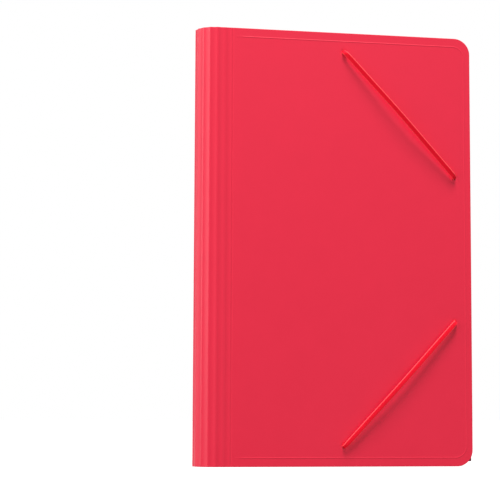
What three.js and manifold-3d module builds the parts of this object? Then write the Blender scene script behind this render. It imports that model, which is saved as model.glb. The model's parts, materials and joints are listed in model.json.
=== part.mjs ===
// Accordion file organizer: a creased polypropylene cover round a bellows of film pockets, held shut by two
// corner elastics. Millimetres, +Z up. The file stands on a short end with its spine towards -X and its front
// cover towards -Y, and the origin is under the middle of its bounding box.
import * as THREE from "three";
import { mergeVertices } from "three/addons/utils/BufferGeometryUtils.js";
import Module from "manifold-3d";

const wasm = await Module();
wasm.setup();

// Cover sheet
const coverHeight = 370; // long side, upright as the file stands
const panelWidth = 210; // flat part of the front and of the back, from hinge crease to fore edge
const coverSheet = 0.8; // thickness of the cover
const cornerRadius = 14; // the two fore-edge corners of each panel

// Scored creases of the spine
const creasePitch = 6.5; // between creases where the spine is still flat
const flatStrips = 2; // strips that stay in line with each panel
const roundStrips = 8; // strips that bend round from front to back
const creaseLand = 1.7; // flat ridge that each score leaves outside
const fluteDepth = 0.25; // hollow between two ridges
const hingeGrooveWidth = 2; // V groove that the cover folds at
const hingeGrooveDepth = 0.3;

// Embossed line round each panel
const beadInsetEnds = 7.4; // from the top and bottom edges to the middle of the line
const beadInsetFore = 5.5; // from the fore edge
const beadStart = 3; // from the hinge crease
const beadRadius = 10;
const beadWidth = 1.3;
const beadHeight = 0.2;
const beadSlope = 0.35; // width of each flank

// Bellows
const pocketCount = 13;
const pocketPitch = 2.25; // one wall to the next while the file is shut
const wallSheet = 0.3;
const gussetSheet = 0.25;
const bottomEndInset = 4.3; // lower end of the bellows, from the end that the file stands on
const topEndInset = 9; // upper end of the bellows, from the top of the cover
const foreInset = 0.6; // pocket mouths lie this far inside the cover's fore edge
const bottomInset = -6; // pocket bottoms, from the hinge crease, reaching under the flat strips
const gussetDepth = 15; // how far the end folds reach into the pockets
const bottomFoldDepth = 6; // the same for the folds along the spine
const foldTopWidth = 1.1; // flat crest of a fold over its wall
const foldValleyWidth = 0.4; // middle to middle of the two arms at the foot of a fold

// Corner elastics
const elasticWidth = 4.4;
const elasticThickness = 1.1;
const elasticReach = 7.1; // outermost line of the slack upper band, above the cover
const upperTilt = 38 * (Math.PI / 180); // the slack upper band turns its face down by this angle
const lowerTilt = 4 * (Math.PI / 180);
const elasticElbow = 1.9; // height at which the band turns away from its hole
const elbowFoot = { out: 1 / 3, up: 0.75 }; // where the turn starts, in band thicknesses and elbow heights
const elbowEnd = { out: 2, up: 1.3 }; // where the turn ends, in the same
const shoulderPlace = 0.2; // share of the span at which the band has most of its rise
const shoulderRise = 0.6; // share of the rise past the elbow that it has there
const selvedgeRound = 0.7; // corner cut of the band, as a share of half its thickness
const holeClearance = 0.45; // round the band in its hole
const holeEdgeInset = 17; // outer holes, from the top and bottom edges
const holeAcross = 113; // outer holes, from the fore edge
const holeSideInset = 15; // side holes, from the fore edge
const holeAlong = 122.5; // side holes, from the top and bottom edges
const barLength = 9; // clenched metal bar on each end of an elastic
const barWidth = 2.4;
const barThickness = 1;
const barClearance = 0.4; // behind a bar, to the first pocket wall

// Gap between pieces that touch
const seatGap = 0.3;

// Fineness of the solids
const weldDistance = 1e-4; // corners nearer than this are one
const fluteSteps = 4; // facets across a flute
const cornerSteps = 16; // facets round a corner of the cover
const beadSteps = 12; // facets round a corner of the embossed line
const holeSides = 24;
const bandSteps = 96; // stations along an elastic
const barSteps = 6; // facets round each end of a bar
const spare = 1; // how far a cutter reaches past what it cuts

// Sizes that follow
const anchorRoom = seatGap + barThickness + barClearance;
const bellowsThickness = pocketCount * pocketPitch + wallSheet;
const thickness = 2 * coverSheet + anchorRoom + bellowsThickness + seatGap;
const roundRadius = thickness / 2;
const flatLength = flatStrips * creasePitch;
const totalWidth = panelWidth + flatLength + roundRadius;
const foreX = totalWidth / 2;
const hingeX = foreX - panelWidth;
const roundX = hingeX - flatLength;
const frontY = -thickness / 2;
const firstWallY = frontY + coverSheet + anchorRoom + wallSheet / 2;
const selvedgeCut = (selvedgeRound * elasticThickness) / 2;
const tiltedReach = Math.max(
  (elasticWidth / 2 - selvedgeCut) * Math.sin(upperTilt) + (elasticThickness / 2) * Math.cos(upperTilt),
  (elasticWidth / 2) * Math.sin(upperTilt) + (elasticThickness / 2 - selvedgeCut) * Math.cos(upperTilt),
);
const elasticRise = elasticReach - tiltedReach; // middle of both bands, above the cover
const bellowsBottomZ = bottomEndInset;
const bellowsTopZ = coverHeight - topEndInset;

const coverMaterial = { color: 0xe5374e, roughness: 0.38, metalness: 0 };
const filmMaterial = { color: 0x9c2434, roughness: 0.45, metalness: 0 };
const elasticMaterial = { color: 0xdb2c3d, roughness: 0.7, metalness: 0 };
const barMaterial = { color: 0xb9bcc0, roughness: 0.35, metalness: 1 };

// A closed geometry as a manifold-3d solid.
function solidOf(geometry) {
  const bare = geometry.index ? geometry.toNonIndexed() : geometry.clone();
  bare.deleteAttribute("normal");
  bare.deleteAttribute("uv");
  const merged = mergeVertices(bare, weldDistance);
  return new wasm.Manifold(
    new wasm.Mesh({
      numProp: 3,
      vertProperties: merged.attributes.position.array,
      triVerts: new Uint32Array(merged.index.array),
    }),
  );
}

// A manifold-3d solid as a geometry.
function geometryOf(solid) {
  const mesh = solid.getMesh();
  const geometry = new THREE.BufferGeometry();
  geometry.setAttribute("position", new THREE.BufferAttribute(mesh.vertProperties, 3));
  geometry.setIndex(new THREE.BufferAttribute(mesh.triVerts, 1));
  geometry.computeVertexNormals();
  return geometry;
}

// A closed XY outline drawn up along Z.
function upright(points, height, baseZ) {
  const shape = new THREE.Shape(points);
  const geometry = new THREE.ExtrudeGeometry(shape, { depth: height, bevelEnabled: false });
  return geometry.translate(0, 0, baseZ);
}

// An XZ outline given thickness along Y, from the plane y = fromY towards +Y.
function facing(shape, depth, fromY, options = {}) {
  const geometry = new THREE.ExtrudeGeometry(shape, { depth, bevelEnabled: false, ...options });
  return geometry.rotateX(Math.PI / 2).translate(0, fromY + depth, 0);
}

function named(name, geometry, material) {
  const mesh = new THREE.Mesh(geometry, new THREE.MeshStandardMaterial(material));
  mesh.name = name;
  return mesh;
}

// The outline of a polyline with thickness, by mitred offsets to both sides.
function thickened(points, sheet) {
  const side = (sign) =>
    points.map((point, i) => {
      const before = points[Math.max(i - 1, 0)];
      const after = points[Math.min(i + 1, points.length - 1)];
      const normals = [];
      if (i > 0) normals.push(point.clone().sub(before).normalize());
      if (i < points.length - 1) normals.push(after.clone().sub(point).normalize());
      const first = new THREE.Vector2(-normals[0].y, normals[0].x);
      const last = normals[normals.length - 1];
      const second = new THREE.Vector2(-last.y, last.x);
      const miter = first.clone().add(second).normalize();
      return point.clone().addScaledVector(miter, (sign * sheet) / 2 / miter.dot(first));
    });
  return [...side(1), ...side(-1).reverse()];
}

// Middles of the creases, from the front hinge round the spine to the back hinge.
function creaseLine() {
  const points = [];
  for (let i = 0; i < flatStrips; i++) points.push(new THREE.Vector2(hingeX - i * creasePitch, frontY));
  for (let i = 0; i <= roundStrips; i++) {
    const turn = (Math.PI * i) / roundStrips;
    points.push(
      new THREE.Vector2(roundX - roundRadius * Math.sin(turn), -roundRadius * Math.cos(turn)),
    );
  }
  for (let i = flatStrips - 1; i >= 0; i--) {
    points.push(new THREE.Vector2(hingeX - i * creasePitch, -frontY));
  }
  return points;
}

// Outer face of the spine: a flat ridge at each crease and a shallow flute, a parabola, between two ridges.
function flutedSpine() {
  const creases = creaseLine();
  const outline = [];
  for (let i = 0; i < creases.length - 1; i++) {
    const from = creases[i];
    const along = creases[i + 1].clone().sub(from);
    const length = along.length();
    along.divideScalar(length);
    const inward = new THREE.Vector2(-along.y, along.x).negate();
    if (i > 0) outline.push(from);
    const startsAtHinge = i === 0 ? hingeGrooveWidth / 2 : creaseLand / 2;
    const endsAtHinge = i === creases.length - 2 ? hingeGrooveWidth / 2 : creaseLand / 2;
    const flute = length - startsAtHinge - endsAtHinge;
    for (let k = 0; k <= fluteSteps; k++) {
      const share = k / fluteSteps;
      const hollow = 4 * fluteDepth * share * (1 - share);
      outline.push(
        from
          .clone()
          .addScaledVector(along, startsAtHinge + flute * share)
          .addScaledVector(inward, hollow),
      );
    }
  }
  return outline;
}

// Inner face of the spine, parallel to the creases.
function innerSpine() {
  const inner = roundRadius - coverSheet;
  const points = [];
  for (let i = 0; i <= roundStrips; i++) {
    const turn = (Math.PI * i) / roundStrips;
    points.push(new THREE.Vector2(roundX - inner * Math.sin(turn), -inner * Math.cos(turn)));
  }
  return points;
}

// What rounds off the fore-edge corners of the panel whose outer face is at y = faceY.
function cornerCutters(faceY) {
  return [0, coverHeight].map((edgeZ) => {
    const up = edgeZ > 0 ? 1 : -1;
    const centreX = foreX - cornerRadius;
    const centreZ = edgeZ - up * cornerRadius;
    const shape = new THREE.Shape();
    shape.moveTo(centreX, edgeZ + up * spare);
    shape.lineTo(foreX + spare, edgeZ + up * spare);
    shape.lineTo(foreX + spare, centreZ);
    shape.lineTo(foreX, centreZ);
    shape.absarc(centreX, centreZ, cornerRadius, 0, (up * Math.PI) / 2, up < 0);
    shape.closePath();
    const depth = coverSheet + 2 * spare;
    return solidOf(facing(shape, depth, faceY - spare, { curveSegments: cornerSteps }));
  });
}

// The embossed line: top, fore edge and bottom of a frame, with round corners, open at the hinge.
function beadSolid(faceY) {
  const startX = hingeX + beadStart;
  const rail = (out) => {
    const right = foreX - beadInsetFore + out;
    const top = coverHeight - beadInsetEnds + out;
    const bottom = beadInsetEnds - out;
    const radius = beadRadius + out;
    return { right, top, bottom, radius };
  };
  const outer = rail(beadWidth / 2);
  const inner = rail(-beadWidth / 2);
  const centreX = outer.right - outer.radius;
  const shape = new THREE.Shape();
  shape.moveTo(startX, outer.bottom);
  shape.lineTo(centreX, outer.bottom);
  shape.absarc(centreX, outer.bottom + outer.radius, outer.radius, -Math.PI / 2, 0, false);
  shape.absarc(centreX, outer.top - outer.radius, outer.radius, 0, Math.PI / 2, false);
  shape.lineTo(startX, outer.top);
  shape.lineTo(startX, inner.top);
  shape.absarc(centreX, outer.top - outer.radius, inner.radius, Math.PI / 2, 0, true);
  shape.absarc(centreX, outer.bottom + outer.radius, inner.radius, 0, -Math.PI / 2, true);
  shape.lineTo(startX, inner.bottom);
  shape.closePath();
  const sunk = coverSheet / 2 - beadHeight;
  const bevel = {
    bevelEnabled: true,
    bevelThickness: beadHeight,
    bevelSize: beadSlope,
    bevelOffset: -beadSlope,
    bevelSegments: 1,
    curveSegments: beadSteps,
  };
  const fromY = faceY < 0 ? faceY : faceY - sunk;
  return solidOf(facing(shape, sunk, fromY, bevel));
}

// Places of the holes for one elastic: the outer one near a short edge, the side one near the fore edge.
function elasticHoles(isUpper) {
  const z = (inset) => (isUpper ? coverHeight - inset : inset);
  return {
    outer: new THREE.Vector3(foreX - holeAcross, frontY, z(holeEdgeInset)),
    side: new THREE.Vector3(foreX - holeSideInset, frontY, z(holeAlong)),
  };
}

function holeCutter(at) {
  const radius = Math.hypot(elasticWidth, elasticThickness) / 2 + holeClearance;
  const cylinder = new THREE.CylinderGeometry(radius, radius, 2 * (coverSheet + spare), holeSides);
  return solidOf(cylinder.translate(at.x, at.y, at.z));
}

// Front panel: its hinge edge is one flank of the groove that it folds at.
function frontCover() {
  const edgeX = hingeX + seatGap / 2;
  const innerY = frontY + coverSheet;
  const profile = [
    new THREE.Vector2(foreX, frontY),
    new THREE.Vector2(foreX, innerY),
    new THREE.Vector2(edgeX, innerY),
    new THREE.Vector2(edgeX, frontY + hingeGrooveDepth),
    new THREE.Vector2(hingeX + hingeGrooveWidth / 2, frontY),
  ];
  let solid = solidOf(upright(profile, coverHeight, 0)).add(beadSolid(frontY));
  for (const cutter of cornerCutters(frontY)) solid = solid.subtract(cutter);
  for (const isUpper of [true, false]) {
    const { outer, side } = elasticHoles(isUpper);
    solid = solid.subtract(holeCutter(outer)).subtract(holeCutter(side));
  }
  return geometryOf(solid);
}

// Spine and back panel, one folded sheet.
function backCover() {
  const edgeX = hingeX - seatGap / 2;
  const backY = -frontY;
  const profile = [
    new THREE.Vector2(edgeX, frontY + coverSheet),
    new THREE.Vector2(edgeX, frontY + hingeGrooveDepth),
    ...flutedSpine(),
    new THREE.Vector2(hingeX, backY - hingeGrooveDepth),
    new THREE.Vector2(hingeX + hingeGrooveWidth / 2, backY),
    new THREE.Vector2(foreX, backY),
    new THREE.Vector2(foreX, backY - coverSheet),
    ...innerSpine().reverse(),
  ];
  let solid = solidOf(upright(profile.reverse(), coverHeight, 0)).add(beadSolid(backY));
  for (const cutter of cornerCutters(backY - coverSheet)) solid = solid.subtract(cutter);
  return geometryOf(solid);
}

const wallY = (index) => firstWallY + index * pocketPitch;

// The folds over all the pocket walls: points (y, depth), where depth 0 is the crest and grows inwards.
function foldLine(depth) {
  const points = [];
  for (let i = 0; i <= pocketCount; i++) {
    const before = i === 0 ? wallSheet / 2 : foldTopWidth / 2;
    const after = i === pocketCount ? wallSheet / 2 : foldTopWidth / 2;
    points.push(new THREE.Vector2(wallY(i) - before, 0), new THREE.Vector2(wallY(i) + after, 0));
    if (i === pocketCount) break;
    const valley = wallY(i) + pocketPitch / 2;
    points.push(
      new THREE.Vector2(valley - foldValleyWidth / 2, depth),
      new THREE.Vector2(valley + foldValleyWidth / 2, depth),
    );
  }
  return points;
}

const bottomX = hingeX + bottomInset;
const mouthX = foreX - foreInset;

// The pleated strip that closes the pockets at one short end.
function endGusset(isTop) {
  const line = foldLine(gussetDepth).map(({ x: y, y: depth }) => {
    const inwards = gussetSheet / 2 + depth;
    return new THREE.Vector2(isTop ? bellowsTopZ - inwards : bellowsBottomZ + inwards, y);
  });
  const geometry = new THREE.ExtrudeGeometry(new THREE.Shape(thickened(line, gussetSheet)), {
    depth: mouthX - bottomX,
    bevelEnabled: false,
  });
  const turned = new THREE.Matrix4().makeBasis(
    new THREE.Vector3(0, 0, 1),
    new THREE.Vector3(0, 1, 0),
    new THREE.Vector3(-1, 0, 0),
  );
  return geometry.applyMatrix4(turned).translate(mouthX, 0, 0);
}

// The pleated strip that closes the pockets along the spine, between the two end strips.
function bottomGusset() {
  const line = foldLine(bottomFoldDepth).map(
    ({ x: y, y: depth }) => new THREE.Vector2(bottomX + gussetSheet / 2 + depth, y),
  );
  const margin = gussetSheet + gussetDepth + seatGap;
  const height = bellowsTopZ - bellowsBottomZ - 2 * margin;
  return upright(thickened(line, gussetSheet), height, bellowsBottomZ + margin);
}

function pocketWall(index) {
  const margin = gussetSheet + seatGap;
  const fromX = bottomX + gussetSheet + seatGap;
  const height = bellowsTopZ - bellowsBottomZ - 2 * margin;
  const geometry = new THREE.BoxGeometry(mouthX - fromX, wallSheet, height);
  return geometry.translate((mouthX + fromX) / 2, wallY(index), (bellowsTopZ + bellowsBottomZ) / 2);
}

// Turn about Y that lays +X along the line between the two holes of an elastic.
function elasticTurn({ outer, side }) {
  return Math.atan2(outer.z - side.z, side.x - outer.x);
}

// A flat band that leaves one hole, bows clear of the cover and goes into the other. It is drawn along X,
// rising towards -Y, and then turned into place.
function elasticBand(isUpper) {
  const holes = elasticHoles(isUpper);
  const length = holes.outer.distanceTo(holes.side);
  const shoulder = elasticElbow + shoulderRise * (elasticRise - elasticElbow);
  const half = [
    [0, -coverSheet],
    [0, 0],
    [elbowFoot.out * elasticThickness, elbowFoot.up * elasticElbow],
    [elbowEnd.out * elasticThickness, elbowEnd.up * elasticElbow],
    [shoulderPlace * length, shoulder],
  ];
  const returning = half.map(([distance, height]) => [length - distance, height]).reverse();
  const route = [...half, [length / 2, elasticRise], ...returning];
  const path = new THREE.CatmullRomCurve3(
    route.map(([distance, height]) => new THREE.Vector3(distance, -height, 0)),
  );
  const halfWidth = elasticWidth / 2;
  const halfThickness = elasticThickness / 2;
  const corners = [
    new THREE.Vector2(-halfWidth + selvedgeCut, -halfThickness),
    new THREE.Vector2(halfWidth - selvedgeCut, -halfThickness),
    new THREE.Vector2(halfWidth, -halfThickness + selvedgeCut),
    new THREE.Vector2(halfWidth, halfThickness - selvedgeCut),
    new THREE.Vector2(halfWidth - selvedgeCut, halfThickness),
    new THREE.Vector2(-halfWidth + selvedgeCut, halfThickness),
    new THREE.Vector2(-halfWidth, halfThickness - selvedgeCut),
    new THREE.Vector2(-halfWidth, -halfThickness + selvedgeCut),
  ];
  const middle = new THREE.Vector2();
  const tilt = isUpper ? upperTilt : lowerTilt;
  const section = new THREE.Shape(corners.map((corner) => corner.rotateAround(middle, tilt)));
  const options = { steps: bandSteps, bevelEnabled: false, extrudePath: path };
  const geometry = new THREE.ExtrudeGeometry(section, options);
  return geometry.rotateY(elasticTurn(holes)).translate(...holes.outer);
}

// A clenched metal bar lying across its hole, behind the front cover.
function elasticBar(at, turn) {
  const reach = (barLength - barWidth) / 2;
  const shape = new THREE.Shape();
  shape.absarc(0, reach, barWidth / 2, 0, Math.PI, false);
  shape.absarc(0, -reach, barWidth / 2, Math.PI, 2 * Math.PI, false);
  const geometry = facing(shape, barThickness, 0, { curveSegments: barSteps });
  return geometry.rotateY(turn).translate(at.x, frontY + coverSheet + seatGap, at.z);
}

const file = new THREE.Group();
file.name = "accordion_file";
file.position.y = (elasticReach - beadHeight) / 2;

file.add(named("back_cover", backCover(), coverMaterial));
file.add(named("front_cover", frontCover(), coverMaterial));
for (let i = 0; i <= pocketCount; i++) {
  const number = String(i + 1).padStart(2, "0");
  file.add(named(`pocket_wall_${number}`, pocketWall(i), filmMaterial));
}
file.add(named("gusset_top", endGusset(true), filmMaterial));
file.add(named("gusset_bottom", endGusset(false), filmMaterial));
file.add(named("gusset_spine", bottomGusset(), filmMaterial));
for (const isUpper of [true, false]) {
  const place = isUpper ? "upper" : "lower";
  const holes = elasticHoles(isUpper);
  const turn = elasticTurn(holes);
  file.add(named(`elastic_${place}`, elasticBand(isUpper), elasticMaterial));
  file.add(named(`elastic_${place}_bar_end`, elasticBar(holes.outer, turn), barMaterial));
  file.add(named(`elastic_${place}_bar_side`, elasticBar(holes.side, turn), barMaterial));
}

export default file;
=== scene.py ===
"""Dresses the accordion file organizer: folded polypropylene cover, film pockets and corner elastics."""

import json
import logging
import math
from dataclasses import dataclass, field
from enum import Enum
from typing import Any, Iterable, Sequence

import bmesh
import bpy
import numpy as np
from mathutils import Matrix, Vector
from mathutils.geometry import delaunay_2d_cdt


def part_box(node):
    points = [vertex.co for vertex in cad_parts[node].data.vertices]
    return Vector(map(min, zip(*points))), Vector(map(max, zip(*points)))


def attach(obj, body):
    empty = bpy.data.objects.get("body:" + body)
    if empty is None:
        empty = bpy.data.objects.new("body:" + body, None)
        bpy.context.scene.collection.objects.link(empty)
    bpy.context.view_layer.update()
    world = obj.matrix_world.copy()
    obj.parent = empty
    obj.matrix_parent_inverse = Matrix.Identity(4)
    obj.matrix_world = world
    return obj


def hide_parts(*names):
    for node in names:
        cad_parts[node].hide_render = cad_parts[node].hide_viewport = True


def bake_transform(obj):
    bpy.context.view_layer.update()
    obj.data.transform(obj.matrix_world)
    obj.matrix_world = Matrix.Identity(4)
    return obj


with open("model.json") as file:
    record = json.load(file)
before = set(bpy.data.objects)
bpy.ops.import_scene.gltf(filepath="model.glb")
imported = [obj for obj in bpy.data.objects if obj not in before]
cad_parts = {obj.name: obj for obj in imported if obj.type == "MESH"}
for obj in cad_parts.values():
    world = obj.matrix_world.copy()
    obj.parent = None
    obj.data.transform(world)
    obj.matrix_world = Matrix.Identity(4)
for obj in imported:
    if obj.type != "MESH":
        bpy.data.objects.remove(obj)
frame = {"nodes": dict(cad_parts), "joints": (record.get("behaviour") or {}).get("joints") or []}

MM = 0.001
# Side of the photograph's frame.
IMAGE_PX = 500
WHITE = (1.0, 1.0, 1.0, 1.0)
# The point attribute that says where a tool pressed the sheet.
PRESSED = "pressed"
# Points nearer to each other than this are one point.
MERGE = 0.002 * MM
# Faces that meet at less than this angle are shaded as one smooth surface.
SMOOTH_BELOW = math.radians(32)

# A place (x, z) on a panel, or a pair of lengths, in metres.
Place = tuple[float, float]
Face = tuple[int, ...]
log = logging.getLogger("organizer")


def linear(colour: str) -> tuple[float, float, float, float]:
    """Turns an sRGB hex colour to linear.

    Args:
        colour: six hex digits after a hash sign.

    Returns:
        Linear red, green and blue, and an alpha of 1.
    """
    values = [int(colour[i : i + 2], 16) / 255 for i in (1, 3, 5)]
    r, g, b = (v / 12.92 if v <= 0.04045 else ((v + 0.055) / 1.055) ** 2.4 for v in values)
    return (r, g, b, 1.0)


def add_node(
    tree: bpy.types.NodeTree, kind: str, inputs: dict[Any, Any], **settings: Any
) -> bpy.types.Node:
    """Adds a node with its settings, input values and links.

    Args:
        tree: the node tree.
        kind: the node's type name.
        inputs: value or output socket for each input, by name or index.
        settings: the node's own properties.

    Returns:
        The new node.
    """
    node = tree.nodes.new(kind)
    for name, value in settings.items():
        setattr(node, name, value)
    for key, value in inputs.items():
        if isinstance(value, bpy.types.NodeSocket):
            tree.links.new(value, node.inputs[key])
        else:
            node.inputs[key].default_value = value
    return node


def empty_material(name: str) -> tuple[bpy.types.Material, bpy.types.NodeTree]:
    """Makes a material with no nodes in it.

    Args:
        name: the material's name.

    Returns:
        The material and its node tree.
    """
    material = bpy.data.materials.new(name)
    material.use_nodes = True
    material.node_tree.nodes.clear()
    return material, material.node_tree


def background_rays(tree: bpy.types.NodeTree) -> bpy.types.NodeSocket:
    """Adds a value that is 1 for the rays that should see the background white.

    Args:
        tree: the node tree of the floor's material or of the world.

    Returns:
        The socket with the value: camera, glossy and transmission rays give 1.
    """
    path = add_node(tree, "ShaderNodeLightPath", {}).outputs
    mirrored = add_node(
        tree,
        "ShaderNodeMath",
        {0: path["Is Glossy Ray"], 1: path["Is Transmission Ray"]},
        operation="MAXIMUM",
    )
    seen = add_node(
        tree,
        "ShaderNodeMath",
        {0: path["Is Camera Ray"], 1: mirrored.outputs[0]},
        operation="MAXIMUM",
    )
    return seen.outputs[0]


class Coordinates(Enum):
    """Where a finish takes its pattern from."""

    PLACE = "Object"
    ALONG_BAND = "UV"


@dataclass(frozen=True)
class ExtrudedPolypropylene:
    """Polypropylene sheet, extruded and calendered, shinier where a tool pressed it."""

    # To the eye it is one even satin colour with a broad soft shine and a very slight mottle.
    name: str = "polypropylene_sheet_extruded_satin"
    colour: str = "#DC1A3B"
    shade: str = "#D71738"
    roughness: float = 0.46
    roughness_spread: float = 0.04
    pressed_roughness: float = 0.36
    specular: float = 0.42
    ior: float = 1.49
    mottle_mm: float = 22.0
    # The real grain is about 0.1 mm and too fine to show, so it is drawn coarser.
    grain_mm: float = 0.9
    grain_height_mm: float = 0.006

    def build(self) -> bpy.types.Material:
        """Builds the material; mottle shifts its colour a little and grain breaks up its shine.

        Returns:
            The material.
        """
        material, tree = empty_material(self.name)
        place = add_node(tree, "ShaderNodeTexCoord", {}).outputs[Coordinates.PLACE.value]
        mottle = add_node(
            tree,
            "ShaderNodeTexNoise",
            {"Vector": place, "Scale": 1 / (self.mottle_mm * MM), "Detail": 3.0},
        )
        tone = add_node(
            tree,
            "ShaderNodeMix",
            {"Factor": mottle.outputs["Fac"], 6: linear(self.colour), 7: linear(self.shade)},
            data_type="RGBA",
        )
        rough = add_node(
            tree,
            "ShaderNodeMapRange",
            {
                "Value": mottle.outputs["Fac"],
                "To Min": self.roughness - self.roughness_spread,
                "To Max": self.roughness + self.roughness_spread,
            },
        )
        pressed = add_node(tree, "ShaderNodeAttribute", {}, attribute_name=PRESSED)
        shine = add_node(
            tree,
            "ShaderNodeMix",
            {"Factor": pressed.outputs["Fac"], "A": rough.outputs["Result"], "B": self.pressed_roughness},
        )
        grain = add_node(
            tree,
            "ShaderNodeTexNoise",
            {"Vector": place, "Scale": 1 / (self.grain_mm * MM), "Detail": 2.0},
        )
        bump = add_node(
            tree,
            "ShaderNodeBump",
            {"Height": grain.outputs["Fac"], "Distance": self.grain_height_mm * MM, "Strength": 1.0},
        )
        shader = add_node(
            tree,
            "ShaderNodeBsdfPrincipled",
            {
                "Base Color": tone.outputs[2],
                "Roughness": shine.outputs["Result"],
                "IOR": self.ior,
                "Specular IOR Level": self.specular,
                "Normal": bump.outputs["Normal"],
            },
        )
        add_node(tree, "ShaderNodeOutputMaterial", {"Surface": shader.outputs["BSDF"]})
        return material


@dataclass(frozen=True)
class PolypropyleneFilm(ExtrudedPolypropylene):
    """Polypropylene film of the pockets, extruded thin and smoother than the sheet."""

    # Its colour is painted shade: the film is coloured much darker than the cover's red, for the shade that
    # falls between the many walls.
    name: str = "polypropylene_film_extruded"
    colour: str = "#7C1226"
    shade: str = "#701022"
    roughness: float = 0.36


@dataclass(frozen=True)
class BraidedElastic:
    """Flat elastic, braided from dyed polyester over rubber."""

    # To the eye it is matt and strongly coloured, with slanting threads and a bright line at each edge,
    # which is a painted highlight.
    name: str = "polyester_elastic_braided"
    colour: str = "#FF1230"
    shade: str = "#F20E28"
    # Both selvedges are painted lighter, a painted highlight for the light that the upper edge catches from
    # the lamp above. Both distances are from the middle.
    selvedge_highlight: str = "#FF5058"
    highlight_from_mm: float = 1.55
    highlight_full_mm: float = 1.85
    roughness: float = 0.6
    sheen: float = 0.02
    specular: float = 0.12
    # Threads of the real braid are about 0.4 mm, and are drawn at 0.7 mm so that they show.
    thread_mm: float = 0.7
    thread_height_mm: float = 0.05
    thread_strength: float = 0.7

    def build(self) -> bpy.types.Material:
        """Builds the material; ridges that slant both ways from the middle give the herringbone of a braid.

        Returns:
            The material.
        """
        material, tree = empty_material(self.name)
        band = add_node(tree, "ShaderNodeTexCoord", {}).outputs[Coordinates.ALONG_BAND.value]
        split = add_node(tree, "ShaderNodeSeparateXYZ", {"Vector": band})
        from_middle = add_node(tree, "ShaderNodeMath", {0: split.outputs["Y"]}, operation="ABSOLUTE")
        slant = add_node(
            tree, "ShaderNodeMath", {0: split.outputs["X"], 1: from_middle.outputs[0]}, operation="ADD"
        )
        turn = add_node(
            tree,
            "ShaderNodeMath",
            {0: slant.outputs[0], 1: 2 * math.pi / (self.thread_mm * MM)},
            operation="MULTIPLY",
        )
        wave = add_node(tree, "ShaderNodeMath", {0: turn.outputs[0]}, operation="SINE")
        ridge = add_node(
            tree, "ShaderNodeMapRange", {"Value": wave.outputs[0], "From Min": -1.0, "From Max": 1.0}
        )
        # Painted shade: the colour is darker in the hollows between the threads, where the bump is low.
        tone = add_node(
            tree,
            "ShaderNodeMix",
            {"Factor": ridge.outputs["Result"], 6: linear(self.shade), 7: linear(self.colour)},
            data_type="RGBA",
        )
        # Painted highlight: the colour turns lighter towards both selvedges.
        painted_highlight_share = add_node(
            tree,
            "ShaderNodeMapRange",
            {
                "Value": from_middle.outputs[0],
                "From Min": self.highlight_from_mm * MM,
                "From Max": self.highlight_full_mm * MM,
            },
        )
        highlighted = add_node(
            tree,
            "ShaderNodeMix",
            {"Factor": painted_highlight_share.outputs["Result"], 6: tone.outputs[2], 7: linear(self.selvedge_highlight)},
            data_type="RGBA",
        )
        bump = add_node(
            tree,
            "ShaderNodeBump",
            {
                "Height": ridge.outputs["Result"],
                "Distance": self.thread_height_mm * MM,
                "Strength": self.thread_strength,
            },
        )
        shader = add_node(
            tree,
            "ShaderNodeBsdfPrincipled",
            {
                "Base Color": highlighted.outputs[2],
                "Roughness": self.roughness,
                "Sheen Weight": self.sheen,
                "Specular IOR Level": self.specular,
                "Normal": bump.outputs["Normal"],
            },
        )
        add_node(tree, "ShaderNodeOutputMaterial", {"Surface": shader.outputs["BSDF"]})
        return material


@dataclass(frozen=True)
class PlatedSteel:
    """Steel strip, stamped and nickel plated."""

    # To the eye it is bright metal, its reflections broken up by the fine grain that the press leaves.
    name: str = "steel_strip_nickel_plated"
    colour: str = "#C9CBCC"
    roughness_low: float = 0.24
    roughness_high: float = 0.39
    grain_mm: float = 0.6

    def build(self) -> bpy.types.Material:
        """Builds the material.

        Returns:
            The material.
        """
        material, tree = empty_material(self.name)
        place = add_node(tree, "ShaderNodeTexCoord", {}).outputs[Coordinates.PLACE.value]
        grain = add_node(
            tree,
            "ShaderNodeTexNoise",
            {"Vector": place, "Scale": 1 / (self.grain_mm * MM), "Detail": 2.0},
        )
        rough = add_node(
            tree,
            "ShaderNodeMapRange",
            {
                "Value": grain.outputs["Fac"],
                "To Min": self.roughness_low,
                "To Max": self.roughness_high,
            },
        )
        shader = add_node(
            tree,
            "ShaderNodeBsdfPrincipled",
            {"Base Color": linear(self.colour), "Metallic": 1.0, "Roughness": rough.outputs["Result"]},
        )
        add_node(tree, "ShaderNodeOutputMaterial", {"Surface": shader.outputs["BSDF"]})
        return material


@dataclass(frozen=True)
class StudioPaper:
    """Background paper, uncoated."""

    # To the eye it is plain white with only the file's soft shadow. Its own colour is darker, so that
    # it throws little light back, and the glow that makes it white lights nothing.
    name: str = "background_paper_matt"
    colour: str = "#686868"
    roughness: float = 0.9
    glow: float = 0.9

    def build(self) -> bpy.types.Material:
        """Builds the material.

        Returns:
            The material.
        """
        material, tree = empty_material(self.name)
        strength = add_node(
            tree, "ShaderNodeMath", {0: background_rays(tree), 1: self.glow}, operation="MULTIPLY"
        )
        shader = add_node(
            tree,
            "ShaderNodeBsdfPrincipled",
            {
                "Base Color": linear(self.colour),
                "Roughness": self.roughness,
                "Emission Color": WHITE,
                "Emission Strength": strength.outputs[0],
            },
        )
        add_node(tree, "ShaderNodeOutputMaterial", {"Surface": shader.outputs["BSDF"]})
        return material


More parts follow.
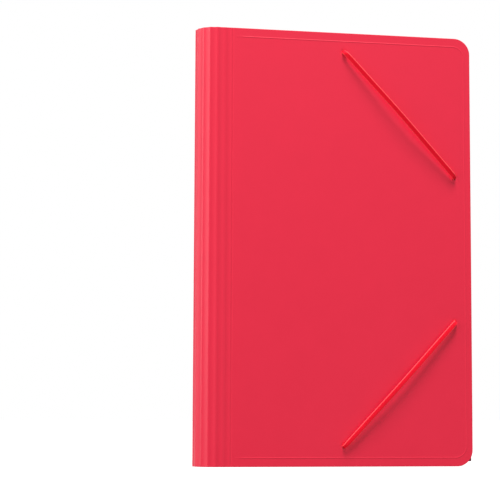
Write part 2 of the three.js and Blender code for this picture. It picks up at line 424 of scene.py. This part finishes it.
def mesh_object(
    name: str, verts: Iterable[Sequence[float]], faces: Iterable[Face], material: bpy.types.Material
) -> bpy.types.Object:
    """Makes a mesh object in the scene, with doubled points merged and faces turned outwards.

    Args:
        name: the object's name.
        verts: points in metres.
        faces: point numbers of each face.
        material: its only material.

    Returns:
        The new object.
    """
    mesh = bpy.data.meshes.new(name)
    mesh.from_pydata([tuple(v) for v in verts], [], [tuple(f) for f in faces])
    work = bmesh.new()
    work.from_mesh(mesh)
    bmesh.ops.remove_doubles(work, verts=work.verts, dist=MERGE)
    bmesh.ops.dissolve_degenerate(work, edges=work.edges, dist=MERGE / 2)
    bmesh.ops.recalc_face_normals(work, faces=work.faces)
    work.to_mesh(mesh)
    work.free()
    mesh.materials.append(material)
    made = bpy.data.objects.new(name, mesh)
    bpy.context.scene.collection.objects.link(made)
    mesh.shade_smooth()
    mesh.set_sharp_from_angle(angle=SMOOTH_BELOW)
    return made


def dress(node: bpy.types.Object, finish: bpy.types.Material) -> None:
    """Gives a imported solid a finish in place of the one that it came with."""
    node.data.materials.clear()
    node.data.materials.append(finish)


def ramp(value: np.ndarray, start: float, length: float) -> np.ndarray:
    """Rises evenly from 0 at the start to 1 a length further on."""
    return np.clip((value - start) / length, 0, 1)


def hill(away: np.ndarray) -> np.ndarray:
    """Falls smoothly from 1 to 0 while the distance goes from 0 to 1."""
    return 0.5 * (1 + np.cos(math.pi * np.clip(away, 0, 1)))


def travelled(line: np.ndarray) -> np.ndarray:
    """Length along a line at each of its points."""
    return np.concatenate([[0], np.cumsum(np.linalg.norm(np.diff(line, axis=0), axis=1))])


def rim_edges(faces: Sequence[Face]) -> list[tuple[int, int]]:
    """Finds the edges that belong to one face only.

    Args:
        faces: point numbers of each face.

    Returns:
        The two point numbers of each edge, in the direction of its face.
    """
    seen: dict[frozenset[int], list[tuple[int, int]]] = {}
    for face in faces:
        for a, b in zip(face, face[1:] + face[:1]):
            seen.setdefault(frozenset((a, b)), []).append((a, b))
    return [uses[0] for uses in seen.values() if len(uses) == 1]


@dataclass(frozen=True)
class EdgeLine:
    """A line along the bottom, fore and top edges of a panel, at set distances inside them."""

    ends: float
    fore: float
    radius: float

    def moved_out(self, out: float) -> "EdgeLine":
        """The same line a distance further out, with its corners to match."""
        return EdgeLine(self.ends - out, self.fore - out, self.radius + out)


@dataclass
class PanelPlan:
    """Points and lines of a flat panel that its triangles have to follow."""

    points: list[Place] = field(default_factory=list)
    edges: list[tuple[int, int]] = field(default_factory=list)

    def line(self, route: Iterable[Place], closed: bool = False) -> None:
        """Adds a line.

        Args:
            route: its points in order.
            closed: whether the last point is joined to the first.
        """
        first = len(self.points)
        self.points.extend(route)
        last = len(self.points) - 1
        self.edges.extend((i, i + 1) for i in range(first, last))
        if closed:
            self.edges.append((last, first))

    def triangles(self) -> tuple[np.ndarray, list[Face]]:
        """Fills the plan with triangles out to its outline, which has no hollows.

        Returns:
            Points (x, z), and the point numbers of each triangle.
        """
        fill_hull, nearest_mm = 0, 1e-6
        flat = [Vector((x / MM, z / MM)) for x, z in self.points]
        laid, _, faces, *_ = delaunay_2d_cdt(flat, self.edges, [], fill_hull, nearest_mm)
        return np.array([(p.x * MM, p.y * MM) for p in laid]), [tuple(f) for f in faces]


@dataclass
class HingedPanel:
    """A flat panel of the cover: its outline, embossed line, holes and half of its hinge groove."""

    hinge_x: float
    fore_x: float
    height: float
    holes: list[Place] = field(default_factory=list)
    # Smaller than the solid's hole, because the bunched band fills it.
    hole_radius: float = 1.55 * MM
    dimple_reach: float = 2.6 * MM
    dimple_depth: float = 0.26 * MM
    sheet: float = 0.8 * MM
    corner: float = 14 * MM
    edge_break: float = 0.2 * MM
    # The embossed line, its distance from the edges and how it starts beside the hinge.
    bead_ends: float = 7.4 * MM
    bead_fore: float = 5.5 * MM
    bead_corner: float = 10 * MM
    bead_half: float = 0.65 * MM
    bead_height: float = 0.16 * MM
    bead_start: float = 1.6 * MM
    bead_fade: float = 3.2 * MM
    groove_half: float = 1.0 * MM
    groove_depth: float = 0.3 * MM
    # Slow waves that a thin sheet has, which set in beyond the stiff hinge.
    wave_height: float = 0.1 * MM
    wave_from_hinge: float = 20 * MM
    wave_across: float = 31 * MM
    wave_up: float = 43 * MM
    wave_phases: tuple[float, float] = (0.8, 0.3)
    # How finely the panel is laid out.
    row_first: float = 2 * MM
    row_margin: float = 6 * MM
    row_count: int = 34
    rail_step: float = 9 * MM
    corner_steps: int = 22
    hole_steps: int = 36
    bead_shares: tuple[float, ...] = (-1.3, -1, -0.7, -0.45, -0.2, 0, 0.2, 0.45, 0.7, 1, 1.3)
    groove_shares: tuple[float, ...] = (0.5, 1, 1.5)
    dimple_shares: tuple[float, ...] = (0.3, 0.55, 0.8, 1.05)
    grid: float = 7 * MM
    grid_from_bead: float = 4.9 * MM
    grid_to_bead: float = 4.2 * MM
    grid_to_hole: float = 3.9 * MM

    @property
    def outline(self) -> EdgeLine:
        """The panel's own edge."""
        return EdgeLine(0.0, 0.0, self.corner)

    @property
    def bead(self) -> EdgeLine:
        """The middle of the embossed line."""
        return EdgeLine(self.bead_ends, self.bead_fore, self.bead_corner)

    def rows(self) -> list[float]:
        """Chooses the heights of the points along the hinge, which the spine shares.

        Returns:
            Heights from the bottom to the top.
        """
        inner = np.linspace(self.row_margin, self.height - self.row_margin, self.row_count)
        low = (0.0, self.edge_break, self.row_first)
        return [*low, *inner, *(self.height - z for z in reversed(low))]

    def rail(self, line: EdgeLine, start_x: float) -> list[Place]:
        """Points along an edge line, with round corners.

        Args:
            line: the line to follow.
            start_x: where both of its ends lie.

        Returns:
            Points (x, z) from the bottom end to the top end.
        """
        radius, low, high = line.radius, line.ends, self.height - line.ends
        right = self.fore_x - line.fore
        bend_x = right - radius
        across = np.linspace(start_x, bend_x, max(2, int((bend_x - start_x) / self.rail_step)))
        upward = np.linspace(low + radius, high - radius, int((high - low) / self.rail_step))[1:-1]
        arc = np.linspace(0, math.pi / 2, self.corner_steps)
        points = [(x, low) for x in across[:-1]]
        points += [(bend_x + radius * math.sin(a), low + radius - radius * math.cos(a)) for a in arc]
        points += [(right, z) for z in upward]
        points += [(bend_x + radius * math.cos(a), high - radius + radius * math.sin(a)) for a in arc]
        points += [(x, high) for x in across[-2::-1]]
        return [(float(x), float(z)) for x, z in points]

    def inside(self, line: EdgeLine, x: np.ndarray, z: np.ndarray) -> np.ndarray:
        """Signed distance from an edge line towards the middle of the panel.

        Args:
            line: the line to measure from.
            x: places across the panel.
            z: places up the panel.

        Returns:
            The distance at each place.
        """
        right = self.fore_x - line.fore - x
        end = np.minimum(z, self.height - z) - line.ends
        near_corner = (right < line.radius) & (end < line.radius)
        at_corner = line.radius - np.hypot(line.radius - right, line.radius - end)
        return np.where(near_corner, at_corner, np.minimum(right, end))

    def pressed(self, x: np.ndarray, z: np.ndarray) -> np.ndarray:
        """Finds where the tool pressed the sheet.

        Args:
            x: places across the panel.
            z: places up the panel.

        Returns:
            1 on the embossed line and in the hinge groove, falling to 0 beside them.
        """
        line = 1 - np.clip(np.abs(self.inside(self.bead, x, z)) / self.bead_half, 0, 1)
        line = line * (x > self.hinge_x + self.bead_start)
        groove = 1 - np.clip(np.abs(x - self.hinge_x) / self.groove_half, 0, 1)
        return np.maximum(line, groove)

    def relief(self, x: np.ndarray, z: np.ndarray) -> np.ndarray:
        """Works out how far the sheet stands out of its plane.

        Args:
            x: places across the panel.
            z: places up the panel.

        Returns:
            Embossed line, dimples round the holes, hinge groove and slow waves, added up.
        """
        bead = hill(np.abs(self.inside(self.bead, x, z)) / self.bead_half)
        out = self.bead_height * bead * ramp(x, self.hinge_x + self.bead_start, self.bead_fade)
        for hole_x, hole_z in self.holes:
            from_rim = np.hypot(x - hole_x, z - hole_z) - self.hole_radius
            out = out - self.dimple_depth * hill(from_rim / self.dimple_reach)
        out = out - self.groove_depth * (1 - ramp(x, self.hinge_x, self.groove_half))
        across, up = self.wave_phases
        wave = np.sin(x / self.wave_across + across) * np.sin(z / self.wave_up + up)
        return out + self.wave_height * wave * ramp(x, self.hinge_x, self.wave_from_hinge)

    def edge_fall(self, x: np.ndarray, z: np.ndarray) -> np.ndarray:
        """Works out how far the broken edge falls back at the outline and at the holes.

        Args:
            x: places across the panel.
            z: places up the panel.

        Returns:
            The depth at each place.
        """
        away = self.inside(self.outline, x, z)
        for hole_x, hole_z in self.holes:
            away = np.minimum(away, np.hypot(x - hole_x, z - hole_z) - self.hole_radius)
        return self.edge_break * (1 - ramp(away, 0, self.edge_break))

    def near_hole(self, x: float, z: float, margin: float) -> bool:
        """True if a place lies in one of the holes or within a margin of its rim."""
        return any(math.hypot(x - hx, z - hz) < self.hole_radius + margin for hx, hz in self.holes)

    def plan_lines(self, plan: PanelPlan) -> None:
        """Draws the outline, broken edge, groove, embossed line and hole rings.

        Args:
            plan: the plan to draw on.
        """
        rows = self.rows()
        hinge = [(self.hinge_x, z) for z in rows[-2:0:-1]]
        plan.line(self.rail(self.outline, self.hinge_x) + hinge, closed=True)
        plan.line(self.rail(self.outline.moved_out(-self.edge_break), self.hinge_x))
        for share in self.groove_shares:
            plan.line([(self.hinge_x + share * self.groove_half, z) for z in rows])
        for share in self.bead_shares:
            line = self.bead.moved_out(-share * self.bead_half)
            plan.line(self.rail(line, self.hinge_x + self.bead_start))
        turns = np.linspace(0, 2 * math.pi, self.hole_steps, endpoint=False)
        dimple = [self.edge_break + self.dimple_reach * share for share in self.dimple_shares]
        for hole_x, hole_z in self.holes:
            for ring in (0, self.edge_break, *dimple):
                reach = self.hole_radius + ring
                circle = [(hole_x + reach * math.cos(a), hole_z + reach * math.sin(a)) for a in turns]
                plan.line(circle, closed=True)

    def plan_grid(self, plan: PanelPlan) -> None:
        """Spreads loose points between the embossed line and the holes, for the slow waves.

        Args:
            plan: the plan to draw on.
        """
        right = self.fore_x - self.bead_fore - self.grid_to_bead
        low, high = self.bead_ends + self.grid_from_bead, self.height - self.bead_ends - self.grid_to_bead
        for x in np.arange(self.hinge_x + self.grid, right, self.grid):
            for z in np.arange(low, high, self.grid):
                if not self.near_hole(x, z, self.grid_to_hole):
                    plan.points.append((float(x), float(z)))

    def layout(self) -> tuple[np.ndarray, list[Face]]:
        """Lays out the flat panel as triangles that follow its lines, with its holes open.

        Returns:
            Points (x, z), and the point numbers of each triangle.
        """
        plan = PanelPlan()
        self.plan_lines(plan)
        self.plan_grid(plan)
        places, faces = plan.triangles()
        middles = [places[list(face)].mean(axis=0) for face in faces]
        return places, [face for face, (x, z) in zip(faces, middles) if not self.near_hole(x, z, 0)]


class Side(Enum):
    """Which panel of the cover a piece carries, as the sign of its outward Y."""

    FRONT = -1
    BACK = 1


class Corner(Enum):
    """Which corner of the front cover an elastic crosses, as the name of its solid."""

    LOWER = "elastic_lower"
    UPPER = "elastic_upper"


@dataclass
class Shell:
    """Points and faces of a piece while it is put together."""

    verts: list[tuple[float, float, float]] = field(default_factory=list)
    faces: list[Face] = field(default_factory=list)


@dataclass
class FoldedCover:
    """The cover, one folded sheet: front panel, fluted spine and back panel, in two pieces that meet at a
    crease.
    """

    finish: bpy.types.Material
    # The spine: strips from crease to crease, two flat ones at each side and a half-round bend between.
    pitch: float = 6.5 * MM
    flat_strips: int = 2
    round_strips: int = 8
    # The flat land along each crease, and the row of points on it beside the crease.
    land: float = 1.7 * MM
    land_station: float = 0.51 * MM
    # How deep a strip is hollowed between two lands, and the rows of points across the hollow.
    flute: float = 0.3 * MM
    flute_shares: tuple[float, ...] = (0, 0.03, 0.12, 0.25, 0.4, 0.55, 0.7, 0.82, 0.92, 0.98, 1)
    # The shine of a land ends this many half lands from its crease, and is full up to one less.
    land_shine: float = 1.6
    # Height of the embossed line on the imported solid; the sheet's own line is a little lower.
    solid_bead: float = 0.2 * MM
    # Holes of the elastics, from the fore edge and from the nearer end.
    hole_across: float = 113 * MM
    hole_ends: float = 17 * MM
    hole_side: float = 15 * MM
    hole_along: float = 122.5 * MM
    hinge_x: float = field(init=False)
    fore_x: float = field(init=False)
    front_y: float = field(init=False)
    back_y: float = field(init=False)
    height: float = field(init=False)

    def __post_init__(self) -> None:
        """Takes the cover's outer sizes from the frame."""
        self.hinge_x, self.front_y, _ = frame["joints"][0]["pos_m"]
        self.fore_x, _, self.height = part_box("front_cover")[1]
        self.back_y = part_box("back_cover")[1][1] - self.solid_bead

    def hole_pair(self, corner: Corner) -> tuple[Place, Place]:
        """Finds the two holes that one elastic goes through.

        Args:
            corner: the corner that it crosses.

        Returns:
            The hole near the end of the cover and the hole near its fore edge.
        """
        ends, along = self.hole_ends, self.hole_along
        if corner is Corner.UPPER:
            ends, along = self.height - ends, self.height - along
        return (self.fore_x - self.hole_across, ends), (self.fore_x - self.hole_side, along)

    def panel(self, side: Side) -> HingedPanel:
        """Sizes the flat panel on one side; only the front one has holes.

        Args:
            side: which panel.

        Returns:
            The panel.
        """
        pairs = [self.hole_pair(corner) for corner in Corner] if side is Side.FRONT else []
        holes = [hole for pair in pairs for hole in pair]
        return HingedPanel(self.hinge_x, self.fore_x, self.height, holes)

    def creases(self) -> list[Vector]:
        """Finds the middles of the creases in plan.

        Returns:
            Points (x, y) from the front hinge round to the back hinge.
        """
        flat = [self.hinge_x - i * self.pitch for i in range(self.flat_strips)]
        front = [Vector((x, self.front_y)) for x in flat]
        back = [Vector((x, self.back_y)) for x in reversed(flat)]
        radius, middle_y = (self.back_y - self.front_y) / 2, (self.back_y + self.front_y) / 2
        round_x = self.hinge_x - self.flat_strips * self.pitch
        turns = [math.pi * i / self.round_strips for i in range(self.round_strips + 1)]
        bend = [Vector((round_x - radius * math.sin(t), middle_y - radius * math.cos(t))) for t in turns]
        return front + bend + back

    def strip_profile(self, length: float, groove_first: bool, groove_last: bool) -> list[Place]:
        """Works out the hollow of one strip of the spine.

        Args:
            length: from crease to crease.
            groove_first: whether the first crease is a hinge groove.
            groove_last: whether the last crease is a hinge groove.

        Returns:
            Distance from the first crease and how far the face stands out, without the last crease,
            which the next strip has.
        """
        panel = self.panel(Side.BACK)
        groove = [(0.0, -panel.groove_depth), (panel.groove_half / 2, -panel.groove_depth / 2)]
        land = [(0.0, 0.0), (self.land_station, 0.0)]
        first = panel.groove_half if groove_first else self.land / 2
        last = length - (panel.groove_half if groove_last else self.land / 2)
        # A parabola, as deep as the flute at its middle.
        hollow = [
            (first + (last - first) * share, -4 * self.flute * share * (1 - share))
            for share in self.flute_shares
        ]
        ending = (groove if groove_last else land)[1:]
        return (groove if groove_first else land) + hollow + [(length - d, out) for d, out in ending]

    def spine_columns(self, first: int, last: int) -> list[tuple[Vector, Vector]]:
        """Works out the points in plan along the spine between two creases.

        Args:
            first: number of the crease to start at.
            last: number of the crease to end at.

        Returns:
            Each pair of points on the outer and on the inner face.
        """
        creases, panel = self.creases(), self.panel(Side.BACK)
        hinges = (0, len(creases) - 1)
        spans = [b - a for a, b in zip(creases, creases[1:])]
        normals = [Vector((-span.y, span.x)).normalized() for span in spans]

        def crease_normal(i: int) -> Vector:
            """The direction outwards at a crease, midway between the strips beside it."""
            return sum(normals[max(i - 1, 0) : i + 1], Vector((0, 0))).normalized()

        columns = []
        for i in range(first, last):
            forward = spans[i].normalized()
            for distance, relief in self.strip_profile(spans[i].length, i in hinges, i + 1 in hinges):
                place = creases[i] + forward * distance
                normal = crease_normal(i) if distance == 0 else normals[i]
                columns.append((place + normal * relief, place - normal * panel.sheet))
        relief = -panel.groove_depth if last in hinges else 0.0
        place, normal = creases[last], crease_normal(last)
        return [*columns, (place + normal * relief, place - normal * panel.sheet)]

    def add_panel(self, side: Side, shell: Shell) -> None:
        """Adds both faces and the rim of one flat panel.

        Args:
            side: which panel.
            shell: the piece to add it to.
        """
        panel = self.panel(side)
        face_y = self.front_y if side is Side.FRONT else self.back_y
        places, triangles = panel.layout()
        x, z = places[:, 0], places[:, 1]
        relief, fall = panel.relief(x, z), panel.edge_fall(x, z)
        # The inner face follows the outer one, apart from the groove, which is cut from outside only.
        groove = panel.groove_depth * (1 - ramp(x, self.hinge_x, panel.groove_half))
        base, count = len(shell.verts), len(places)
        shell.verts.extend(zip(x, face_y + side.value * (relief - fall), z))
        shell.verts.extend(zip(x, face_y + side.value * (relief + groove - panel.sheet + fall), z))
        for triangle in triangles:
            shell.faces.append(tuple(base + i for i in triangle))
            shell.faces.append(tuple(base + count + i for i in reversed(triangle)))
        for a, b in rim_edges(triangles):
            if max(x[a], x[b]) - self.hinge_x > MERGE:
                shell.faces.append((base + a, base + b, base + count + b, base + count + a))

    def add_spine(self, first: int, last: int, shell: Shell) -> None:
        """Adds a stretch of the spine, with broken edges at its ends and closed where it is cut.

        Args:
            first: number of the crease to start at.
            last: number of the crease to end at.
            shell: the piece to add it to.
        """
        panel = self.panel(Side.BACK)
        columns, rows = self.spine_columns(first, last), panel.rows()
        base, high = len(shell.verts), len(rows)
        for outer, inner in columns:
            through = (inner - outer).normalized() * panel.edge_break
            for z in rows:
                fall = through if z in (rows[0], rows[-1]) else through * 0
                shell.verts.extend((p.x, p.y, z) for p in (outer + fall, inner - fall))

        def face(*corners: tuple[int, int, int]) -> Face:
            """A face between points given as column, row, and 0 for outer or 1 for inner."""
            return tuple(base + 2 * (column * high + row) + layer for column, row, layer in corners)

        for c in range(len(columns) - 1):
            for r in range(high - 1):
                for layer in (0, 1):
                    shell.faces.append(
                        face((c, r, layer), (c + 1, r, layer), (c + 1, r + 1, layer), (c, r + 1, layer))
                    )
            for r in (0, high - 1):
                shell.faces.append(face((c, r, 0), (c + 1, r, 0), (c + 1, r, 1), (c, r, 1)))
        cut = len(columns) - 1 if first == 0 else 0
        for r in range(high - 1):
            shell.faces.append(face((cut, r, 0), (cut, r + 1, 0), (cut, r + 1, 1), (cut, r, 1)))

    def mark_pressed(self, piece: bpy.types.Object) -> None:
        """Writes where a piece was pressed: its embossed line, its groove and the lands of its creases.

        Args:
            piece: the piece to mark.
        """
        mesh = piece.data
        places = np.empty(3 * len(mesh.vertices))
        mesh.vertices.foreach_get("co", places)
        x, y, z = places.reshape(-1, 3).T
        marks = self.panel(Side.BACK).pressed(x, z)
        for crease in self.creases()[1:-1]:
            half_lands = np.hypot(x - crease.x, y - crease.y) / (self.land / 2)
            marks = np.maximum(marks, np.clip(self.land_shine - half_lands, 0, 1))
        mesh.attributes.new(PRESSED, "FLOAT", "POINT").data.foreach_set("value", marks.astype(np.float32))

    def piece(self, node: str, side: Side, first: int, last: int) -> bpy.types.Object:
        """Makes one piece of the cover, a flat panel with the stretch of the spine beside it.

        Args:
            node: the solid that it stands for.
            side: its panel.
            first: number of the crease where its spine starts.
            last: number of the crease where its spine ends.

        Returns:
            The piece.
        """
        shell = Shell()
        self.add_panel(side, shell)
        self.add_spine(first, last, shell)
        made = mesh_object(f"{node}_sheet", shell.verts, shell.faces, self.finish)
        self.mark_pressed(made)
        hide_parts(node)
        return made

    def build(self) -> list[bpy.types.Object]:
        """Builds the front piece, which holds the hinge groove and is left without a parent, and the rest
        of the sheet, which goes with the file's body.

        Returns:
            The two pieces.
        """
        front = self.piece("front_cover", Side.FRONT, 0, self.flat_strips)
        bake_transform(front)
        back = self.piece("back_cover", Side.BACK, self.flat_strips, len(self.creases()) - 1)
        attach(back, "file_body")
        return [front, back]


@dataclass
class CornerElastic:
    """A slack flat elastic that bows from one hole of the front cover to another."""

    corner: Corner
    cover: FoldedCover
    finish: bpy.types.Material
    width: float = 4.4 * MM
    thickness: float = 1.1 * MM
    # The band is a little crowned: its selvedges are thinner than its middle.
    crown: float = 0.08 * MM
    # Each slack band lies turned about its length by its own angle.
    upper_tilt: float = math.radians(38)
    lower_tilt: float = math.radians(4)
    # Heights above the cover: the bend where the band comes out of its hole, and the middle of the bow.
    elbow: float = 1.9 * MM
    rise: float = 5.55 * MM
    # Points of the route, as shares of the elbow, and of the bow a fifth of the way along.
    elbow_low: float = 0.75
    elbow_high: float = 1.3
    shoulder: float = 0.6
    # Size of the bunched band where it goes through its hole, and how far along it spreads out.
    bunch_width: float = 3.0 * MM
    bunch_thickness: float = 2.5 * MM
    bunch_length: float = 7 * MM
    # How finely the band is drawn.
    steps: int = 260
    stretch_steps: int = 60
    selvedge_steps: int = 4
    start: Vector = field(init=False)
    end: Vector = field(init=False)
    tilt: float = field(init=False)

    def __post_init__(self) -> None:
        """Takes the ends of the band from the cover's holes."""
        first, last = self.cover.hole_pair(self.corner)
        self.start = Vector((first[0], self.cover.front_y, first[1]))
        self.end = Vector((last[0], self.cover.front_y, last[1]))
        self.tilt = self.upper_tilt if self.corner is Corner.UPPER else self.lower_tilt

    def route(self) -> list[Place]:
        """Chooses the points that the bow goes through.

        Returns:
            Distance from the first hole and height above the cover.
        """
        length = (self.end - self.start).length
        half = [
            (0.0, -HingedPanel.sheet),
            (0.0, 0.0),
            (self.thickness / 3, self.elbow_low * self.elbow),
            (2 * self.thickness, self.elbow_high * self.elbow),
            (length / 5, self.elbow + self.shoulder * (self.rise - self.elbow)),
        ]
        return [*half, (length / 2, self.rise), *((length - d, h) for d, h in reversed(half))]

    def curve(self) -> np.ndarray:
        """Draws a smooth curve through the route, a centripetal Catmull-Rom spline.

        Returns:
            Evenly spaced points, as distance and height.
        """
        points = [np.array(p) for p in self.route()]
        points = [2 * points[0] - points[1], *points, 2 * points[-1] - points[-2]]
        fine = []
        for p0, p1, p2, p3 in zip(points, points[1:], points[2:], points[3:]):
            t1 = math.sqrt(np.linalg.norm(p1 - p0))
            t2 = t1 + math.sqrt(np.linalg.norm(p2 - p1))
            t3 = t2 + math.sqrt(np.linalg.norm(p3 - p2))
            for t in np.linspace(t1, t2, self.stretch_steps, endpoint=False):
                a1 = p0 + (p1 - p0) * t / t1
                a2 = p1 + (p2 - p1) * (t - t1) / (t2 - t1)
                a3 = p2 + (p3 - p2) * (t - t2) / (t3 - t2)
                b1 = a1 + (a2 - a1) * t / t2
                b2 = a2 + (a3 - a2) * (t - t1) / (t3 - t1)
                fine.append(b1 + (b2 - b1) * (t - t1) / (t2 - t1))
        line = np.array([*fine, points[-2]])
        along = travelled(line)
        at = np.linspace(0, along[-1], self.steps)
        return np.stack([np.interp(at, along, line[:, k]) for k in (0, 1)], axis=1)

    def section(self) -> list[Place]:
        """Draws the outline of the band across its length, with round selvedges.

        Returns:
            Distance across from the middle, and out.
        """
        round_off = self.thickness / 2 - self.crown
        flat = self.width / 2 - round_off
        points = []
        for side in (1, -1):
            for step in range(-self.selvedge_steps, self.selvedge_steps + 1):
                turn = (side + step / self.selvedge_steps) * math.pi / 2
                points.append((math.sin(turn) * round_off + side * flat, math.cos(turn) * round_off))
            # Half of the way out a round crown has fallen by a quarter.
            face = -side * self.thickness / 2
            shoulder = face + side * self.crown / 4
            points += [(side * flat / 2, shoulder), (0, face), (-side * flat / 2, shoulder)]
        return points

    def bunching(self, from_end: float) -> tuple[float, float, float]:
        """Works out how the band spreads from its bunched end.

        Args:
            from_end: distance along the band from its nearer end.

        Returns:
            From 0, bunched, to 1, flat, and the factors on its width and thickness.
        """
        share = min(from_end / self.bunch_length, 1.0)
        flat = share * share * (3 - 2 * share)
        wide, thick = self.bunch_width / self.width, self.bunch_thickness / self.thickness
        return flat, wide + (1 - wide) * flat, thick + (1 - thick) * flat

    def skin(self, path: np.ndarray) -> tuple[list[Vector], list[Place]]:
        """Sweeps the section along the bow.

        Args:
            path: the bow's points, as distance and height.

        Returns:
            The band's points, and for each its length along and distance across.
        """
        along, out = (self.end - self.start).normalized(), Vector((0, -1, 0))
        across = along.cross(out)
        gone = travelled(path)
        verts, places = [], []
        for (distance, height), (run, lift), length in zip(path, np.gradient(path, axis=0), gone):
            forward = (along * run + out * lift).normalized()
            up = forward.cross(across)
            centre = self.start + along * distance + out * height
            flat, wide, thick = self.bunching(min(length, gone[-1] - length))
            cos, sin = math.cos(self.tilt * flat), math.sin(self.tilt * flat)
            level, normal = across * cos + up * sin, up * cos - across * sin
            for offset, depth in self.section():
                verts.append(centre + level * offset * wide + normal * depth * thick)
                places.append((length, offset))
        return verts, places

    def build(self) -> list[bpy.types.Object]:
        """Builds the band, with UVs in metres along and across it for the threads.

        Returns:
            The band, as the only piece.
        """
        path = self.curve()
        verts, places = self.skin(path)
        count = len(verts) // len(path)
        last = len(verts) - count
        faces = [
            (ring + j, ring + (j + 1) % count, ring + count + (j + 1) % count, ring + count + j)
            for ring in range(0, last, count)
            for j in range(count)
        ]
        faces += [tuple(range(count)), tuple(range(last, last + count))]
        band = mesh_object(f"{self.corner.value}_band", verts, faces, self.finish)
        layer = band.data.uv_layers.new(name="band")
        for loop in band.data.loops:
            layer.data[loop.index].uv = places[loop.vertex_index]
        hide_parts(self.corner.value)
        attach(band, "front_flap")
        return [band]


@dataclass
class PocketBellows:
    """The film pockets: walls and pleated gussets keep their solids and take the film's finish."""

    finish: bpy.types.Material
    starts: tuple[str, ...] = ("pocket_wall", "gusset")

    def build(self) -> list[bpy.types.Object]:
        """Gives every wall and gusset the film's finish.

        Returns:
            The walls and gussets.
        """
        film = [node for name, node in frame["nodes"].items() if name.startswith(self.starts)]
        for node in film:
            dress(node, self.finish)
        return film


@dataclass
class ClenchedBars:
    """The metal bars that hold the elastics behind the front cover; they keep their solids."""

    finish: bpy.types.Material
    mark: str = "_bar_"

    def build(self) -> list[bpy.types.Object]:
        """Gives every bar the plated finish.

        Returns:
            The bars.
        """
        bars = [node for name, node in frame["nodes"].items() if self.mark in name]
        for node in bars:
            dress(node, self.finish)
        return bars


@dataclass(frozen=True)
class Lamp:
    """A square area lamp."""

    name: str
    place: tuple[float, float, float]
    side: float
    watts: float

    def build(self, aim: Vector) -> None:
        """Hangs the lamp.

        Args:
            aim: the point that it faces.
        """
        data = bpy.data.lights.new(self.name, "AREA")
        data.size, data.energy = self.side, self.watts
        lamp = bpy.data.objects.new(self.name, data)
        lamp.location = self.place
        lamp.rotation_euler = (aim - Vector(self.place)).to_track_quat("-Z", "Y").to_euler()
        bpy.context.scene.collection.objects.link(lamp)


@dataclass
class Studio:
    """Floor, world, lamps and camera."""

    # The camera is fitted to the corners of the front cover in the photograph: metres and degrees.
    camera_place: tuple[float, float, float] = (-0.3391, -1.3361, 0.0506)
    azimuth: float = -11.299
    elevation: float = -5.508
    roll: float = 0.249
    focal_px: float = 1615.0
    sensor_mm: float = 36.0
    clip: tuple[float, float] = (0.05, 50.0)
    floor_half: float = 4.0
    world_light: float = 0.58
    lamp_aim: tuple[float, float, float] = (0.0, 0.0, 0.18)
    lamps: tuple[Lamp, ...] = (
        Lamp("key", (0.096, -0.86, 2.69), 0.8, 102.0),
        Lamp("left", (-1.5, -0.35, 0.7), 1.6, 22.0),
    )

    def floor(self) -> None:
        """Lays the floor."""
        half = self.floor_half
        corners = [(-half, -half, 0), (half, -half, 0), (half, half, 0), (-half, half, 0)]
        mesh_object("floor", corners, [(0, 1, 2, 3)], StudioPaper().build())

    def world(self) -> None:
        """Makes a world that looks white to the camera and in reflections, and lights softly."""
        world = bpy.data.worlds.new("studio")
        bpy.context.scene.world = world
        world.use_nodes = True
        tree = world.node_tree
        tree.nodes.clear()
        strength = add_node(
            tree,
            "ShaderNodeMapRange",
            {"Value": background_rays(tree), "To Min": self.world_light, "To Max": 1.0},
        )
        sky = add_node(
            tree, "ShaderNodeBackground", {"Color": WHITE, "Strength": strength.outputs["Result"]}
        )
        add_node(tree, "ShaderNodeOutputWorld", {"Surface": sky.outputs["Background"]})

    def camera(self) -> None:
        """Puts the camera where the photograph was taken from."""
        data = bpy.data.cameras.new("camera")
        data.sensor_width = self.sensor_mm
        data.lens = self.sensor_mm * self.focal_px / IMAGE_PX
        data.clip_start, data.clip_end = self.clip
        camera = bpy.data.objects.new("camera", data)
        a, e, r = (math.radians(v) for v in (self.azimuth, self.elevation, self.roll))
        back = Vector((math.sin(a) * math.cos(e), -math.cos(a) * math.cos(e), math.sin(e)))
        level = Vector((math.cos(a), math.sin(a), 0))
        up = back.cross(level)
        right = level * math.cos(r) + up * math.sin(r)
        top = up * math.cos(r) - level * math.sin(r)
        turn = Matrix((right, top, back)).transposed()
        camera.matrix_world = Matrix.Translation(self.camera_place) @ turn.to_4x4()
        bpy.context.scene.collection.objects.link(camera)
        bpy.context.scene.camera = camera

    def build(self) -> None:
        """Sets up the whole studio."""
        self.floor()
        self.world()
        for lamp in self.lamps:
            lamp.build(Vector(self.lamp_aim))
        self.camera()
        bpy.context.scene.view_settings.view_transform = "Standard"


def main() -> None:
    """Builds the studio and the sub-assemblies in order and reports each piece."""
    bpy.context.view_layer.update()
    Studio().build()
    cover = FoldedCover(ExtrudedPolypropylene().build())
    elastic = BraidedElastic().build()
    assemblies = (
        cover,
        CornerElastic(Corner.UPPER, cover, elastic),
        CornerElastic(Corner.LOWER, cover, elastic),
        PocketBellows(PolypropyleneFilm().build()),
        ClenchedBars(PlatedSteel().build()),
    )
    for assembly in assemblies:
        for piece in assembly.build():
            log.info("%s: %d faces", piece.name, len(piece.data.polygons))


if __name__ == "__main__":
    logging.basicConfig(level=logging.INFO, format="%(message)s")
    main()
